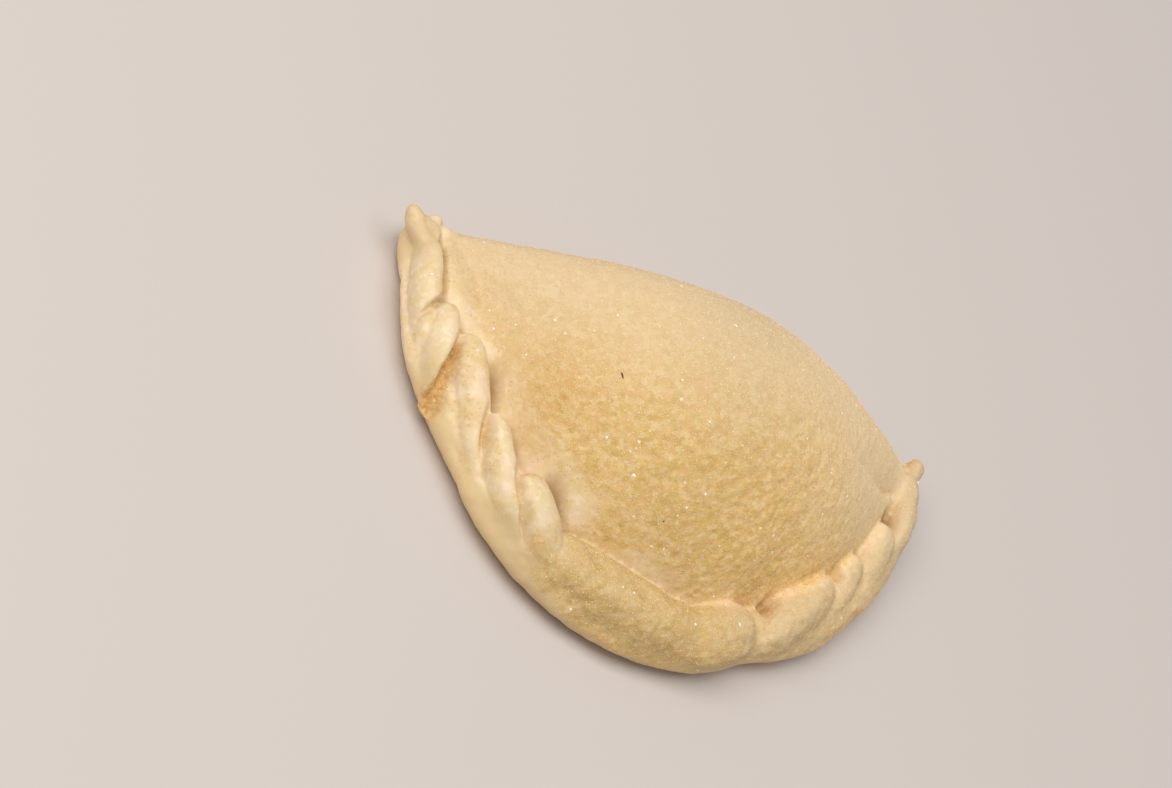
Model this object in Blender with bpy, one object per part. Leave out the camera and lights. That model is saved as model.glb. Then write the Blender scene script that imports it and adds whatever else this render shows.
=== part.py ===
"""A half-moon empanada with a roped edge, lying on its flat base.

X runs from tip to tip, the roped edge curves round the -Y side and the fold is at +Y.
The pastry is one solid: a domed body, and on its rim the folds of the rope, run together as dough is.
Lengths are in millimetres until MM turns them into metres.
"""

import math

import bmesh
import bpy
import numpy as np

MM = 0.001

# Driving sizes.
LENGTH = 130.0
CRIMP_DEPTH = 70.0
FOLD_BULGE = 3.6
HEIGHT = 37.5

# The roped arc and the fold edge are a little fuller towards the -X tip, and the powers shape their ends.
# The fold edge ends short of the tips by the cut, and there folds make the tips round.
CRIMP_LEAN = 0.08
CRIMP_POWER = 1.05
FOLD_LEAN = 0.3
FOLD_POWER = 3.0
TIP_CUT = 3.0

# The ridge is the line along the top of the dome. A slope falls from it to the crease inside the rope,
# and a steep round wall to the fold side, whose widest place is at a share of the ridge's height.
RIDGE_SHARE = 0.80
RIDGE_Y_MIDDLE = -22.0
RIDGE_Y_ENDS = -13.0
RIDGE_Z_LEFT = 6.8
RIDGE_Z_RIGHT = 11.0
RIDGE_FALL_LEFT = 1.52
RIDGE_FALL_RIGHT = 1.32
RIDGE_ROUNDING = 0.25
RIDGE_LEAN = 0.05
SLOPE_POWER = 2.0
FOLD_EDGE_SHARE = 0.45
FOLD_WALL_POWER = 2.4

# The place of the crease and the unevenness of the rim, as insets from the rim at shares of the arc.
# Each is blended over a short stretch of the arc, so that it changes softly.
CREASE_Z = 6.8
MOST_CREASE_SHARE = 0.5
INSET_BLEND = 0.04
BLEND_SAMPLES = 9
CREASE_INSETS = (
    (0.0, 5.0), (0.08, 5.4), (0.13, 12.0), (0.2, 13.0), (0.34, 13.4), (0.4, 12.4), (0.48, 13.0), (0.57, 10.6),
    (0.62, 11.0), (0.8, 9.5), (1.0, 6.0),
)
RIM_INSETS = (
    (0.0, 3.0), (0.03, 0.4), (0.08, -0.7), (0.15, -0.7), (0.23, 1.3), (0.32, -0.6), (0.42, -0.8), (0.5, -0.9),
    (0.6, -0.6), (0.65, 3.2), (0.7, -2.2), (0.75, 0.3), (0.81, -0.9), (0.87, -0.4), (0.93, 1.2), (0.97, 1.2),
    (1.0, 3.4),
)

# Sections as (inset, height): the lower wall of the rim and, with insets as shares of the crease's,
# the band above it. On the fold side the heights are shares of the widest place's height.
WALL_PROFILE = ((9.5, -1.0), (6.5, -0.9), (3.2, 0.5), (1.0, 2.3), (0.1, 4.0))
BAND_PROFILE = ((0.02, 5.4), (0.10, 7.2), (0.24, 8.6), (0.42, 9.3), (0.60, 9.3), (0.80, 8.4))
FOLD_BASE_PROFILE = ((9.0, -1.0), (6.0, -0.9))
FOLD_WALL_PROFILE = ((3.0, 0.06), (1.2, 0.23), (0.4, 0.41))

# Each fold of the rope has an axis from its plump head to its tail. Both are given as the distance
# along the rim from the -X tip, the inset from the rim and the height. The half width, the half
# height, the sideways bow and the place of the plumpest section, from 0 to 1, follow.
FOLDS = (
    # the round -X tip, its cap and nub
    ((0.2, 3.4, 4.2), (17.0, 3.0, 4.0), 3.4, 4.4, 0.0, 0.35),
    ((2.8, 1.6, 4.6), (2.8, 15.0, 4.6), 2.8, 4.6, 0.0, 0.40),
    ((5.6, 7.0, 7.2), (2.6, -1.2, 8.6), 2.2, 2.6, 0.0, 0.50),
    ((9.0, 2.2, 8.4), (0.8, -2.0, 9.2), 1.9, 2.1, 0.0, 0.50),
    # the dough behind the tip, the long strip and four folds that lean towards the middle
    ((4.0, 8.0, 7.0), (27.0, 12.5, 7.8), 5.0, 3.2, 0.0, 0.50),
    ((6.0, 3.4, 8.8), (32.0, 1.8, 6.4), 3.2, 4.2, 0.0, 0.40),
    ((20.5, 6.0, 9.6), (42.0, 1.2, 5.3), 3.5, 4.6, 0.3, 0.34),
    ((27.4, 9.4, 9.6), (59.0, 2.8, 6.2), 4.1, 4.9, 1.6, 0.33),
    ((46.0, 10.2, 9.6), (75.0, 2.4, 6.2), 3.8, 4.9, 0.4, 0.33),
    ((61.5, 10.9, 9.6), (87.0, 2.8, 6.2), 4.8, 4.9, 0.5, 0.33),
    # long roll along the middle
    ((75.5, 7.4, 7.8), (128.0, 4.2, 7.2), 6.7, 5.7, 1.6, 0.42),
    # four folds that lean the other way
    ((135.5, 8.4, 8.2), (112.0, 3.8, 7.0), 6.6, 5.2, 0.0, 0.45),
    ((162.5, 10.6, 9.8), (134.0, 3.4, 6.4), 5.0, 5.0, 0.6, 0.40),
    ((175.0, 10.4, 9.0), (153.5, 3.4, 5.8), 4.2, 4.1, 0.3, 0.34),
    ((189.0, 8.8, 9.2), (168.0, 4.2, 5.6), 4.4, 4.5, 0.3, 0.33),
    # roll, the dough behind it, the nub and the round +X tip
    ((209.0, 5.2, 8.4), (183.0, 3.5, 7.0), 3.2, 4.2, 0.0, 0.45),
    ((206.0, 8.4, 7.4), (194.5, 10.4, 7.4), 2.8, 3.2, 0.0, 0.50),
    ((206.0, 5.0, 9.0), (212.6, 3.5, 10.4), 2.4, 2.2, 0.0, 0.60),
    ((211.0, 3.6, 4.2), (195.0, 3.2, 4.0), 3.4, 4.4, 0.0, 0.35),
    ((208.4, 1.6, 4.8), (208.4, 15.0, 4.8), 2.8, 4.8, 0.0, 0.40),
)
FOLD_END_POWER = 2.2

# Hollows pressed between the folds: distance along the rim, inset, half length, half width, the turn
# in degrees from along the rim towards the inside, and the depth.
DENTS = (
    (33.6, 4.6, 4.4, 0.9, -27, 2.2),
    (37.2, 2.7, 4.0, 1.3, -27, 2.8),
    (40.6, 0.7, 4.0, 1.8, -27, 3.2),
    (50.0, 6.8, 5.0, 1.1, -25, 1.6),
    (62.5, 7.6, 3.5, 0.9, -27, 1.4),
    (69.5, 4.8, 4.0, 1.0, -27, 1.4),
    (40.5, 13.5, 6.0, 1.5, -14, 3.2),
    (55.0, 12.9, 5.5, 1.4, -14, 3.0),
    (71.0, 14.4, 5.5, 1.6, -17, 3.2),
    (142.5, 11.0, 3.2, 1.1, 40, 2.0),
    (165.5, 10.2, 2.0, 1.1, 50, 1.3),
    (191.4, 8.2, 2.0, 1.6, 0, 3.2),
    # the creases beside the long strip
    (12.0, 5.9, 8.0, 0.9, 0, 1.8),
    (8.5, 5.9, 3.5, 0.9, 0, 3.2),
    (22.0, 2.8, 4.0, 0.8, -50, 1.6),
    # faint grooves across the long roll
    (88.0, 9.0, 5.0, 1.6, -32, 0.7),
    (101.0, 8.5, 6.0, 1.8, -12, 0.7),
    (111.0, 11.5, 4.0, 1.4, 30, 0.6),
)
SPOT_POWER = 3.0
DENT_HEIGHTS = (3.0, 6.0)

# The band of dough outside the folds is pressed smooth, and so are the places where two rolls meet.
# The pairs are the distances along the rim between which the band begins and grows wider. The places
# are rows like those of the hollows, with a strength from 0 to 1 in place of the depth.
BAND_START = (24.0, 40.0)
BAND_WIDENING = (60.0, 80.0)
BAND_REACH = 2.6
BAND_GAIN = 1.2
BAND_FADE = 2.5
MEETINGS = (
    (7.0, 2.5, 4.5, 5.0, 0, 0.85),
    (15.0, 12.5, 13.0, 5.5, 10, 0.95),
    (116.0, 6.0, 12.0, 9.0, 0, 0.75),
    (201.5, 8.0, 4.0, 3.0, 0, 0.90),
)

# The fineness of the shells, of the rim's measuring points and of a fold's axis.
RIM_STEPS = 96
RIM_SAMPLES = 721
TIP_MARGIN = 1e-3
TIP_BLEND_STEPS = 6
DOME_STEPS = 14
FOLD_RINGS = 18
FOLD_SIDES = 16
AXIS_SAMPLES = 101
MERGE_DISTANCE = 1e-4

# The grid on which the shells become one skin, its softening and the triangles kept.
VOXEL = 0.8
SOFT_STEPS = 2
BAND_STEPS = 20
TRIANGLES = 9700
CUTTER_DEPTH = 20.0

CRUST_COLOUR = (0.76, 0.53, 0.26, 1.0)
CRUST_ROUGHNESS = 0.72


def clear_scene():
    for existing in list(bpy.data.objects):
        bpy.data.objects.remove(existing, do_unlink=True)


def rim_at(angle):
    """The roped arc in plan, from the -X tip at angle 0 to the +X tip at pi."""
    x = -LENGTH / 2 * np.cos(angle)
    y = -CRIMP_DEPTH * np.sin(angle) ** CRIMP_POWER * (1 + CRIMP_LEAN * np.cos(angle))
    return np.stack([x, y], axis=-1)


def fold_edge_at(angle):
    """The nearly straight edge opposite the rope, ending short of the tips, which the folds make round."""
    x = -(LENGTH / 2 - TIP_CUT) * np.cos(angle)
    y = FOLD_BULGE * np.sin(angle) ** FOLD_POWER * (1 + FOLD_LEAN * np.cos(angle))
    return np.stack([x, y], axis=-1)


def rounded_power(value, power):
    """The size of a value to a power, with a rounded bottom at zero."""
    return (value**2 + RIDGE_ROUNDING**2) ** (0.5 * power)


def ridge_at(angle):
    """The top line of the dome under the same angles: plan position and height."""
    along = -np.cos(angle)
    x = LENGTH / 2 * RIDGE_SHARE * along
    y = RIDGE_Y_ENDS + (RIDGE_Y_MIDDLE - RIDGE_Y_ENDS) * (1 - along**2)
    leaned = (along - RIDGE_LEAN) / (1 - RIDGE_LEAN * along)
    fall = np.where(leaned < 0, RIDGE_FALL_LEFT, RIDGE_FALL_RIGHT)
    end_z = np.where(leaned < 0, RIDGE_Z_LEFT, RIDGE_Z_RIGHT)
    flat = rounded_power(0.0, fall)
    z = HEIGHT - (HEIGHT - end_z) * (rounded_power(leaned, fall) - flat) / (rounded_power(1.0, fall) - flat)
    return np.stack([x, y], axis=-1), z


def inward_normals(points):
    tangents = np.gradient(points, axis=0)
    tangents /= np.linalg.norm(tangents, axis=1)[:, None]
    return np.stack([-tangents[:, 1], tangents[:, 0]], axis=-1)


def inset_at(angle, insets):
    """An inset for each angle, from pairs of a share of the arc and the inset there, with soft changes."""
    shares, values = np.array(insets).T
    window = np.linspace(-INSET_BLEND, INSET_BLEND, BLEND_SAMPLES)
    return np.interp(angle[:, None] / math.pi + window, shares, values).mean(axis=1)


def crimp_profiles(angle):
    """Rows of points from the base up over the band and the dome to the ridge, one column an angle."""
    rim = rim_at(angle)
    normal = inward_normals(rim)
    rim = rim + normal * inset_at(angle, RIM_INSETS)[:, None]
    ridge, ridge_z = ridge_at(angle)
    reach = np.linalg.norm(ridge - rim, axis=1)
    inset = np.minimum(inset_at(angle, CREASE_INSETS), MOST_CREASE_SHARE * reach)
    rows = []
    for wall_inset, z in WALL_PROFILE:
        rows.append(np.column_stack([rim + normal * wall_inset, np.full(len(angle), z)]))
    for share, z in BAND_PROFILE:
        rows.append(np.column_stack([rim + normal * (share * inset)[:, None], np.full(len(angle), z)]))
    crease = rim + normal * inset[:, None]
    for share in np.linspace(0, 1, DOME_STEPS + 1):
        z = CREASE_Z + (ridge_z - CREASE_Z) * (1 - (1 - share) ** SLOPE_POWER)
        rows.append(np.column_stack([crease + (ridge - crease) * share, z]))
    return np.array(rows)


def fold_profiles(angle, rows_wanted):
    """The same rows on the fold side, where the dome comes down as a steep round wall."""
    edge = fold_edge_at(angle)
    ridge, ridge_z = ridge_at(angle)
    inward = ridge - edge
    inward /= np.linalg.norm(inward, axis=1)[:, None]
    edge_z = FOLD_EDGE_SHARE * ridge_z
    rows = []
    for inset, z in FOLD_BASE_PROFILE:
        rows.append(np.column_stack([edge + inward * inset, np.full(len(angle), z)]))
    for inset, share in FOLD_WALL_PROFILE:
        rows.append(np.column_stack([edge + inward * inset, share * edge_z]))
    for turn in np.linspace(0, 0.5 * math.pi, rows_wanted - len(rows)):
        share = 1 - math.cos(turn)
        rise = math.sqrt(1 - (1 - share) ** FOLD_WALL_POWER)
        rows.append(np.column_stack([edge + (ridge - edge) * share, edge_z + (ridge_z - edge_z) * rise]))
    return np.array(rows)


def body_shell():
    """The domed body as vertices and faces: rows round the outline, from the base to the ridge."""
    angle = np.linspace(TIP_MARGIN, math.pi - TIP_MARGIN, RIM_STEPS + 1)
    crimp = crimp_profiles(angle)
    back = fold_profiles(angle, len(crimp))[:, ::-1]
    blend = np.clip(np.arange(RIM_STEPS + 1) / TIP_BLEND_STEPS, 0, 1)
    tip = np.minimum(blend, blend[::-1])[None, :, None]
    back[:, :, 2:] = back[:, :, 2:] * tip + crimp[:, ::-1, 2:] * (1 - tip)
    rings = np.concatenate([crimp, back], axis=1)
    rows, columns = rings.shape[:2]
    faces = [tuple(range(columns))[::-1]]
    for row in range(rows - 1):
        for column in range(columns):
            here = row * columns + column
            beside = row * columns + (column + 1) % columns
            faces.append((here, beside, beside + columns, here + columns))
    return rings.reshape(-1, 3), faces


def rim_frame():
    """Distances along the rim with the plan points and inward normals there."""
    points = rim_at(np.linspace(TIP_MARGIN, math.pi - TIP_MARGIN, RIM_SAMPLES))
    lengths = np.linalg.norm(np.diff(points, axis=0), axis=1)
    return np.concatenate([[0.0], np.cumsum(lengths)]), points, inward_normals(points)


def on_rim(rim, along, inset):
    """The plan point at a distance along the rim and an inset from it, straight on past its ends."""
    distance, points, normals = rim
    place = np.clip(along, 0.0, distance[-1])
    point = np.array([np.interp(place, distance, points[:, k]) for k in (0, 1)])
    normal = np.array([np.interp(place, distance, normals[:, k]) for k in (0, 1)])
    normal /= np.linalg.norm(normal)
    forward = np.array([normal[1], -normal[0]])
    return point + normal * inset + forward * (along - place)


def fold_axis(rim, head, tail, bow):
    """Points along the axis of a fold, with the directions there."""
    points = []
    for share in np.linspace(0, 1, AXIS_SAMPLES):
        along, inset, z = (h + (t - h) * share for h, t in zip(head, tail))
        points.append((*on_rim(rim, along, inset + bow * math.sin(math.pi * share)), z))
    points = np.array(points)
    tangents = np.gradient(points, axis=0)
    return points, tangents / np.linalg.norm(tangents, axis=1)[:, None]


def fold_shell(rim, head, tail, half_width, half_height, bow, plumpest):
    """One fold of the rope: a leaf-shaped closed roll along its axis, as vertices and faces."""
    axis, tangents = fold_axis(rim, head, tail, bow)
    samples = np.linspace(0, 1, AXIS_SAMPLES)
    warp = math.log(0.5) / math.log(plumpest)
    vertices = [axis[0]]
    for turn in np.linspace(0, math.pi, FOLD_RINGS + 2)[1:-1]:
        share = 0.5 - 0.5 * math.cos(turn)
        centre = np.array([np.interp(share, samples, axis[:, k]) for k in range(3)])
        tangent = np.array([np.interp(share, samples, tangents[:, k]) for k in range(3)])
        side = np.cross(tangent, (0.0, 0.0, 1.0))
        side /= np.linalg.norm(side)
        up = np.cross(side, tangent)
        fullness = (1 - abs(2 * share**warp - 1) ** FOLD_END_POWER) ** 0.5
        for spin in np.linspace(0, 2 * math.pi, FOLD_SIDES, endpoint=False):
            offset = side * half_width * math.cos(spin) + up * half_height * math.sin(spin)
            vertices.append(centre + offset * fullness)
    vertices.append(axis[-1])
    last = len(vertices) - 1
    last_ring = 1 + (FOLD_RINGS - 1) * FOLD_SIDES
    faces = []
    for k in range(FOLD_SIDES):
        beside = (k + 1) % FOLD_SIDES
        faces.append((0, 1 + beside, 1 + k))
        for start in range(1, last_ring, FOLD_SIDES):
            faces.append((start + k, start + beside, start + FOLD_SIDES + beside, start + FOLD_SIDES + k))
        faces.append((last_ring + k, last_ring + beside, last))
    return np.array(vertices), faces


def dough_mesh():
    """The body and all the folds as overlapping closed shells in one mesh."""
    rim = rim_frame()
    vertices = []
    faces = []
    for shell_vertices, shell_faces in [body_shell()] + [fold_shell(rim, *fold) for fold in FOLDS]:
        start = len(vertices)
        vertices.extend(tuple(v) for v in shell_vertices)
        faces.extend(tuple(start + k for k in face) for face in shell_faces)
    mesh = bpy.data.meshes.new("dough")
    mesh.from_pydata(vertices, [], faces)
    cleaned = bmesh.new()
    cleaned.from_mesh(mesh)
    bmesh.ops.remove_doubles(cleaned, verts=cleaned.verts, dist=MERGE_DISTANCE)
    bmesh.ops.recalc_face_normals(cleaned, faces=cleaned.faces)
    cleaned.to_mesh(mesh)
    cleaned.free()
    return mesh


def positions(mesh):
    points = np.empty(len(mesh.vertices) * 3, np.float32)
    mesh.vertices.foreach_get("co", points)
    return points.reshape(-1, 3).astype(np.float64)


def set_positions(mesh, points):
    mesh.vertices.foreach_set("co", points.astype(np.float32).ravel())
    mesh.update()


def modified(mesh, *modifiers):
    """A copy of a mesh with modifiers applied, each given as its type and its settings."""
    obj = bpy.data.objects.new("working", mesh)
    bpy.context.scene.collection.objects.link(obj)
    for kind, settings in modifiers:
        modifier = obj.modifiers.new(kind, kind)
        for name, value in settings.items():
            setattr(modifier, name, value)
    bpy.context.view_layer.update()
    result = bpy.data.meshes.new_from_object(obj.evaluated_get(bpy.context.evaluated_depsgraph_get()))
    bpy.data.objects.remove(obj)
    return result


def smoothed(mesh, steps):
    """The vertex positions of a mesh after a number of smoothing steps."""
    return positions(modified(mesh, ("SMOOTH", {"factor": 0.5, "iterations": steps})))


def smoothstep(low, high, value):
    share = np.clip((value - low) / (high - low), 0, 1)
    return share * share * (3 - 2 * share)


def rim_coordinates(points):
    """For each point, the distance along the rim of its nearest rim point and the inset from it."""
    distance, rim, normals = rim_frame()
    gaps = points[:, None, :2] - rim[None]
    nearest = np.argmin((gaps**2).sum(axis=2), axis=1)
    gap = gaps[np.arange(len(points)), nearest]
    return distance[nearest], (gap * normals[nearest]).sum(axis=1)


def spots(rows, along, inset):
    """The largest value that any of the rows gives at each place, fading out at the row's edges."""
    total = np.zeros(len(along))
    for row_along, row_inset, half_length, half_width, turn, value in rows:
        cosine = math.cos(math.radians(turn))
        sine = math.sin(math.radians(turn))
        forward = (along - row_along) * cosine + (inset - row_inset) * sine
        across = (inset - row_inset) * cosine - (along - row_along) * sine
        spread = np.hypot(forward / half_length, across / half_width)
        total = np.maximum(total, value * np.exp(-(spread**SPOT_POWER)))
    return total


def pressed_smooth(along, inset):
    """The outer band of dough, 1 on it and 0 on the folds, with the places where two rolls meet."""
    reach = BAND_REACH + BAND_GAIN * smoothstep(*BAND_WIDENING, along)
    across = 1 - smoothstep(0, 1, (inset - reach) / BAND_FADE + 0.5)
    return np.maximum(across * smoothstep(*BAND_START, along), spots(MEETINGS, along, inset))


def one_skin():
    """The shells run together into one skin, with soft creases, smooth places and hollows."""
    mesh = modified(dough_mesh(), ("REMESH", {"mode": "VOXEL", "voxel_size": VOXEL}))
    soft = smoothed(mesh, SOFT_STEPS)
    along, inset = rim_coordinates(soft)
    share = pressed_smooth(along, inset)[:, None]
    points = soft * (1 - share) + smoothed(mesh, BAND_STEPS) * share
    points[:, 2] -= spots(DENTS, along, inset) * smoothstep(*DENT_HEIGHTS, points[:, 2])
    set_positions(mesh, points)
    return modified(mesh, ("DECIMATE", {"ratio": TRIANGLES / (2 * len(mesh.polygons))}))


def floor_cutter():
    """A block whose top is the ground: it trims the base flat."""
    mesh = bpy.data.meshes.new("floor_cutter")
    block = bmesh.new()
    bmesh.ops.create_cube(block, size=1.0)
    bmesh.ops.scale(block, verts=block.verts, vec=(2 * LENGTH, 2 * LENGTH, CUTTER_DEPTH))
    bmesh.ops.translate(block, verts=block.verts, vec=(0, 0, -CUTTER_DEPTH / 2))
    block.to_mesh(mesh)
    block.free()
    cutter = bpy.data.objects.new("floor_cutter", mesh)
    bpy.context.scene.collection.objects.link(cutter)
    cutter.hide_render = True
    cutter.display_type = "WIRE"
    return cutter


def trimmed(mesh):
    """The mesh with a flat base."""
    trim = {"operation": "DIFFERENCE", "solver": "EXACT", "object": floor_cutter()}
    return modified(mesh, ("BOOLEAN", trim))


def centre_in_plan(mesh):
    """Turns millimetres into metres and moves the mesh so that its box is centred on the origin."""
    points = positions(mesh)
    points[:, :2] -= 0.5 * (points.min(axis=0) + points.max(axis=0))[:2]
    set_positions(mesh, points * MM)


def crust_material():
    material = bpy.data.materials.new("crust")
    material.use_nodes = True
    shader = material.node_tree.nodes["Principled BSDF"]
    shader.inputs["Base Color"].default_value = CRUST_COLOUR
    shader.inputs["Roughness"].default_value = CRUST_ROUGHNESS
    shader.inputs["Metallic"].default_value = 0.0
    return material


def main():
    clear_scene()
    mesh = trimmed(one_skin())
    centre_in_plan(mesh)
    mesh.shade_smooth()
    mesh.materials.clear()
    mesh.materials.append(crust_material())
    empanada = bpy.data.objects.new("empanada", mesh)
    bpy.context.scene.collection.objects.link(empanada)


main()
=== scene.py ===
"""The looks of a half-moon empanada with a roped edge, coated in fine sugar.

X runs from tip to tip, the roped edge curves round the -Y side and the fold is at +Y, as in the frame.
The crust is made from the same sizes as the frame's solid, at a finer scale, and gets the relief of
dough and sugar. Loose crystals and crumbs lie on it as meshes of their own. Lengths are in millimetres
until MM turns them into metres.
"""

import itertools
import math

import bmesh
import bpy
import numpy as np
from mathutils import Matrix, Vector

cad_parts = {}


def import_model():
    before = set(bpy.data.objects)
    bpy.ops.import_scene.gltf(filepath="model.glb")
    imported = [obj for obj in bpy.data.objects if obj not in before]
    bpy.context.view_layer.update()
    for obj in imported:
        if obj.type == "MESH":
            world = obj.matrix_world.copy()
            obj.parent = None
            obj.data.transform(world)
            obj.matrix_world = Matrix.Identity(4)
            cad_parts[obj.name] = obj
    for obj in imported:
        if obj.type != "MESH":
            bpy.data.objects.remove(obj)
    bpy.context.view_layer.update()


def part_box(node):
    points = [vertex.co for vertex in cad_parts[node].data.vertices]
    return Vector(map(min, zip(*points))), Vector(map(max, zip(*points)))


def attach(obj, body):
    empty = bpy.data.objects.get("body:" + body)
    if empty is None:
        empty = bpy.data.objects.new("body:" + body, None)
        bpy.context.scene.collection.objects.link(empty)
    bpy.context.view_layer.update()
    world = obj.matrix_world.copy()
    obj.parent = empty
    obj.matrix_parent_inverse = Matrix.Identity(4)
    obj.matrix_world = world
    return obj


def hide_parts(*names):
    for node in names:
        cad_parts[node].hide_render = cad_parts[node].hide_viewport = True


MM = 0.001

# The driving sizes of the pastry, which are those of the solid.
LENGTH = 130.0
CRIMP_DEPTH = 70.0
FOLD_BULGE = 3.6
HEIGHT = 37.5

# The roped arc and the fold edge are a little fuller towards the -X tip, and the powers shape their ends.
# The fold edge ends short of the tips by the cut, and there folds make the tips round.
CRIMP_LEAN = 0.08
CRIMP_POWER = 1.05
FOLD_LEAN = 0.3
FOLD_POWER = 3.0
TIP_CUT = 3.0

# The ridge is the line along the top of the dome. A slope falls from it to the crease inside the rope,
# and a steep round wall to the fold side, whose widest place is at a share of the ridge's height.
RIDGE_SHARE = 0.80
RIDGE_Y_MIDDLE = -22.0
RIDGE_Y_ENDS = -13.0
RIDGE_Z_LEFT = 6.8
RIDGE_Z_RIGHT = 11.0
RIDGE_FALL_LEFT = 1.52
RIDGE_FALL_RIGHT = 1.32
RIDGE_ROUNDING = 0.25
RIDGE_LEAN = 0.05
SLOPE_POWER = 2.0
FOLD_EDGE_SHARE = 0.45
FOLD_WALL_POWER = 2.4

# The place of the crease and the unevenness of the rim, as insets from the rim at shares of the arc.
# Each is blended over a short stretch of the arc, so that it changes softly.
CREASE_Z = 6.8
MOST_CREASE_SHARE = 0.5
INSET_BLEND = 0.04
BLEND_SAMPLES = 9
CREASE_INSETS = (
    (0.0, 5.0), (0.08, 5.4), (0.13, 12.0), (0.2, 13.0), (0.34, 13.4), (0.4, 12.4), (0.48, 13.0), (0.57, 10.6),
    (0.62, 11.0), (0.8, 9.5), (1.0, 6.0),
)
RIM_INSETS = (
    (0.0, 3.0), (0.03, 0.4), (0.08, -0.7), (0.15, -0.7), (0.23, 1.3), (0.32, -0.6), (0.42, -0.8), (0.5, -0.9),
    (0.6, -0.6), (0.65, 3.2), (0.7, -2.2), (0.75, 0.3), (0.81, -0.9), (0.87, -0.4), (0.93, 1.2), (0.97, 1.2),
    (1.0, 3.4),
)

# Sections as (inset, height): the lower wall of the rim and, with insets as shares of the crease's,
# the band above it. On the fold side the heights are shares of the widest place's height.
WALL_PROFILE = ((9.5, -1.0), (6.5, -0.9), (3.2, 0.5), (1.0, 2.3), (0.1, 4.0))
BAND_PROFILE = ((0.02, 5.4), (0.10, 7.2), (0.24, 8.6), (0.42, 9.3), (0.60, 9.3), (0.80, 8.4))
FOLD_BASE_PROFILE = ((9.0, -1.0), (6.0, -0.9))
FOLD_WALL_PROFILE = ((3.0, 0.06), (1.2, 0.23), (0.4, 0.41))

# Each fold of the rope: its plump head and its tail as the distance along the rim from the -X tip, the
# inset and the height, then half width, half height, sideways bow and the place of the plumpest section.
FOLDS = (
    # the round -X tip, its cap and nub
    ((0.2, 3.4, 4.2), (17.0, 3.0, 4.0), 3.4, 4.4, 0.0, 0.35),
    ((2.8, 1.6, 4.6), (2.8, 15.0, 4.6), 2.8, 4.6, 0.0, 0.40),
    ((5.6, 7.0, 7.2), (2.6, -1.2, 8.6), 2.2, 2.6, 0.0, 0.50),
    ((9.0, 2.2, 8.4), (0.8, -2.0, 9.2), 1.9, 2.1, 0.0, 0.50),
    # the dough behind the tip, the long strip and four folds that lean towards the middle
    ((4.0, 8.0, 7.0), (27.0, 12.5, 7.8), 5.0, 3.2, 0.0, 0.50),
    ((6.0, 3.4, 8.8), (32.0, 1.8, 6.4), 3.2, 4.2, 0.0, 0.40),
    ((20.5, 6.0, 9.6), (42.0, 1.2, 5.3), 3.5, 4.6, 0.3, 0.34),
    ((27.4, 9.4, 9.6), (59.0, 2.8, 6.2), 4.1, 4.9, 1.6, 0.33),
    ((46.0, 10.2, 9.6), (75.0, 2.4, 6.2), 3.8, 4.9, 0.4, 0.33),
    ((61.5, 10.9, 9.6), (87.0, 2.8, 6.2), 4.8, 4.9, 0.5, 0.33),
    # long roll along the middle
    ((75.5, 7.4, 7.8), (128.0, 4.2, 7.2), 6.7, 5.7, 1.6, 0.42),
    # four folds that lean the other way
    ((135.5, 8.4, 8.2), (112.0, 3.8, 7.0), 6.6, 5.2, 0.0, 0.45),
    ((162.5, 10.6, 9.8), (134.0, 3.4, 6.4), 5.0, 5.0, 0.6, 0.40),
    ((175.0, 10.4, 9.0), (153.5, 3.4, 5.8), 4.2, 4.1, 0.3, 0.34),
    ((189.0, 8.8, 9.2), (168.0, 4.2, 5.6), 4.4, 4.5, 0.3, 0.33),
    # roll, the dough behind it, the nub and the round +X tip
    ((209.0, 5.2, 8.4), (183.0, 3.5, 7.0), 3.2, 4.2, 0.0, 0.45),
    ((206.0, 8.4, 7.4), (194.5, 10.4, 7.4), 2.8, 3.2, 0.0, 0.50),
    ((206.0, 5.0, 9.0), (212.6, 3.5, 10.4), 2.4, 2.2, 0.0, 0.60),
    ((211.0, 3.6, 4.2), (195.0, 3.2, 4.0), 3.4, 4.4, 0.0, 0.35),
    ((208.4, 1.6, 4.8), (208.4, 15.0, 4.8), 2.8, 4.8, 0.0, 0.40),
)
FOLD_END_POWER = 2.2

# Hollows pressed between the folds: distance along the rim, inset, half length, half width, the turn
# in degrees from along the rim towards the inside, and the depth. They come in between two heights.
DENTS = (
    (33.6, 4.6, 4.4, 0.9, -27, 2.2),
    (37.2, 2.7, 4.0, 1.3, -27, 2.8),
    (40.6, 0.7, 4.0, 1.8, -27, 3.2),
    (50.0, 6.8, 5.0, 1.1, -25, 1.6),
    (62.5, 7.6, 3.5, 0.9, -27, 1.4),
    (69.5, 4.8, 4.0, 1.0, -27, 1.4),
    (40.5, 13.5, 6.0, 1.5, -14, 3.2),
    (55.0, 12.9, 5.5, 1.4, -14, 3.0),
    (71.0, 14.4, 5.5, 1.6, -17, 3.2),
    (142.5, 11.0, 3.2, 1.1, 40, 2.0),
    (165.5, 10.2, 2.0, 1.1, 50, 1.3),
    (191.4, 8.2, 2.0, 1.6, 0, 3.2),
    # the creases beside the long strip
    (12.0, 5.9, 8.0, 0.9, 0, 1.8),
    (8.5, 5.9, 3.5, 0.9, 0, 3.2),
    (22.0, 2.8, 4.0, 0.8, -50, 1.6),
    # faint grooves across the long roll
    (88.0, 9.0, 5.0, 1.6, -32, 0.7),
    (101.0, 8.5, 6.0, 1.8, -12, 0.7),
    (111.0, 11.5, 4.0, 1.4, 30, 0.6),
)
SPOT_POWER = 3.0
DENT_HEIGHTS = (3.0, 6.0)

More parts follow.
